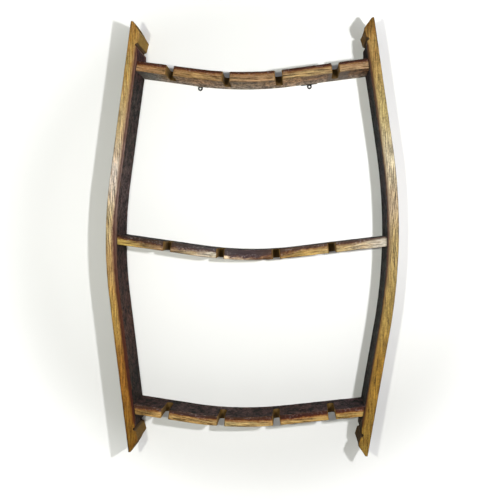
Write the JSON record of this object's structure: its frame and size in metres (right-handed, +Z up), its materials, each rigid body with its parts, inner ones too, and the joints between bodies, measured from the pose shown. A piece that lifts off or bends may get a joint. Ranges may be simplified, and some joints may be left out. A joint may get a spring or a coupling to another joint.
{
  "type": "wall-mounted wine rack",
  "caption": "Wall-hung rack of curved barrel staves: two upright side staves and sagging rails between them, slotted from the front to hold wine glasses by their stems.",
  "frame": {"origin": "on the wall plane, midway between the holes of the two hanger plates", "axes": "+Z up, +X to the right of someone facing the rack, +Y into the wall; the staves' back edges lie on Y = 0 and the front looks along -Y"},
  "size_m": [0.634, 0.1, 0.945],
  "materials": {
    "weathered_oak": "old oak, tan on its sawn edges and stained dark by char and wine on the inside faces",
    "black_steel": "black mirror plates",
    "zinc_screw": "zinc plated wood screws",
    "black_screw": "black wood screws"
  },
  "bodies": {
    "root": {"bottom_rail": "weathered_oak", "bottom_rail_left_back_screw": "zinc_screw", "bottom_rail_left_front_screw": "zinc_screw", "bottom_rail_right_back_screw": "zinc_screw", "bottom_rail_right_front_screw": "zinc_screw", "left_hanger": "black_steel", "left_hanger_inner_screw": "black_screw", "left_hanger_outer_screw": "black_screw", "left_stave": "weathered_oak", "middle_rail": "weathered_oak", "middle_rail_left_back_screw": "zinc_screw", "middle_rail_left_front_screw": "zinc_screw", "middle_rail_right_back_screw": "zinc_screw", "middle_rail_right_front_screw": "zinc_screw", "right_hanger": "black_steel", "right_hanger_inner_screw": "black_screw", "right_hanger_outer_screw": "black_screw", "right_stave": "weathered_oak", "top_rail": "weathered_oak", "top_rail_left_back_screw": "zinc_screw", "top_rail_left_front_screw": "zinc_screw", "top_rail_right_back_screw": "zinc_screw", "top_rail_right_front_screw": "zinc_screw"}
  },
  "joints": []
}
